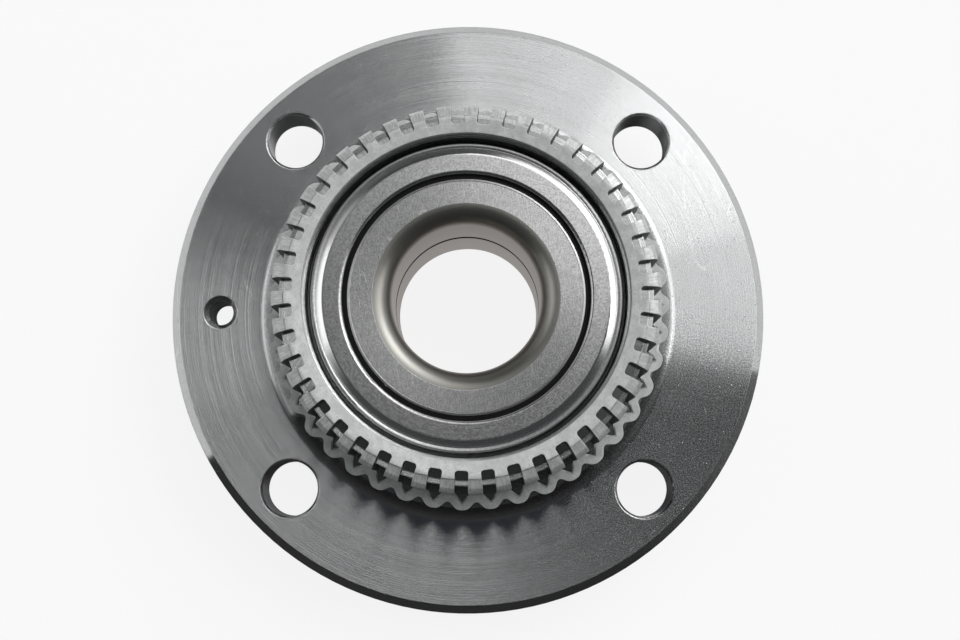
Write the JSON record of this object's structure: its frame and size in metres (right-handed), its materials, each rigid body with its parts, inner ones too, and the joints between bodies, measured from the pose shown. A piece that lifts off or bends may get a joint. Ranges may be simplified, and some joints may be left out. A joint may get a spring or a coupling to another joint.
{
  "type": "wheel hub bearing",
  "caption": "Flanged wheel hub turning on a sealed double-row ball bearing, with a slotted tone ring for a wheel speed sensor.",
  "frame": {"origin": "centre of the wheel bolt circle, on the flange's flat wheel face", "axes": "+Z along the axle from the wheel towards the vehicle, out of the end with the tone ring; +Y lies midway between two bolt holes; the small screw hole lies on -X"},
  "size_m": [0.12, 0.12, 0.0466],
  "materials": {
    "turned_steel": "fine turned, bare steel",
    "zinc_plated_steel": "matte light zinc plating on pressed sheet",
    "bearing_steel": "ground faces, satin bore",
    "ball_steel": "polished",
    "spring_steel": "dull",
    "cage_polyamide": "natural glass-filled polyamide",
    "seal_sheet": "bright rolled stainless sheet",
    "seal_rubber": "matte black nitrile"
  },
  "bodies": {
    "inner_rings": {"inner_ring_inboard": "bearing_steel", "inner_ring_outboard": "bearing_steel", "inner_ring_clip": "spring_steel"},
    "hub": {"hub_flange": "turned_steel", "tone_ring": "zinc_plated_steel", "seal_case_inboard": "seal_sheet", "seal_case_outboard": "seal_sheet", "seal_lip_inboard": "seal_rubber", "seal_lip_outboard": "seal_rubber"},
    "ball_set_inboard": {"cage_inboard": "cage_polyamide", "ball_inboard_01": "ball_steel", "ball_inboard_02": "ball_steel", "ball_inboard_03": "ball_steel", "ball_inboard_04": "ball_steel", "ball_inboard_05": "ball_steel", "ball_inboard_06": "ball_steel", "ball_inboard_07": "ball_steel", "ball_inboard_08": "ball_steel", "ball_inboard_09": "ball_steel", "ball_inboard_10": "ball_steel", "ball_inboard_11": "ball_steel", "ball_inboard_12": "ball_steel"},
    "ball_set_outboard": {"cage_outboard": "cage_polyamide", "ball_outboard_01": "ball_steel", "ball_outboard_02": "ball_steel", "ball_outboard_03": "ball_steel", "ball_outboard_04": "ball_steel", "ball_outboard_05": "ball_steel", "ball_outboard_06": "ball_steel", "ball_outboard_07": "ball_steel", "ball_outboard_08": "ball_steel", "ball_outboard_09": "ball_steel", "ball_outboard_10": "ball_steel", "ball_outboard_11": "ball_steel", "ball_outboard_12": "ball_steel"}
  },
  "joints": [
    {"name": "hub_spin", "type": "hinge", "parent": "inner_rings", "child": "hub", "pos_m": [0, 0, 0.0182], "axis": [0, 0, 1], "continuous": true},
    {"name": "ball_set_inboard_spin", "type": "hinge", "parent": "inner_rings", "child": "ball_set_inboard", "pos_m": [0, 0, 0.0264], "axis": [0, 0, 1], "continuous": true},
    {"name": "ball_set_outboard_spin", "type": "hinge", "parent": "inner_rings", "child": "ball_set_outboard", "pos_m": [0, 0, 0.01], "axis": [0, 0, 1], "continuous": true}
  ],
  "couplings": [
    {"joint": "ball_set_inboard_spin", "follows": "hub_spin", "ratio": 0.58625},
    {"joint": "ball_set_outboard_spin", "follows": "hub_spin", "ratio": 0.58625}
  ]
}
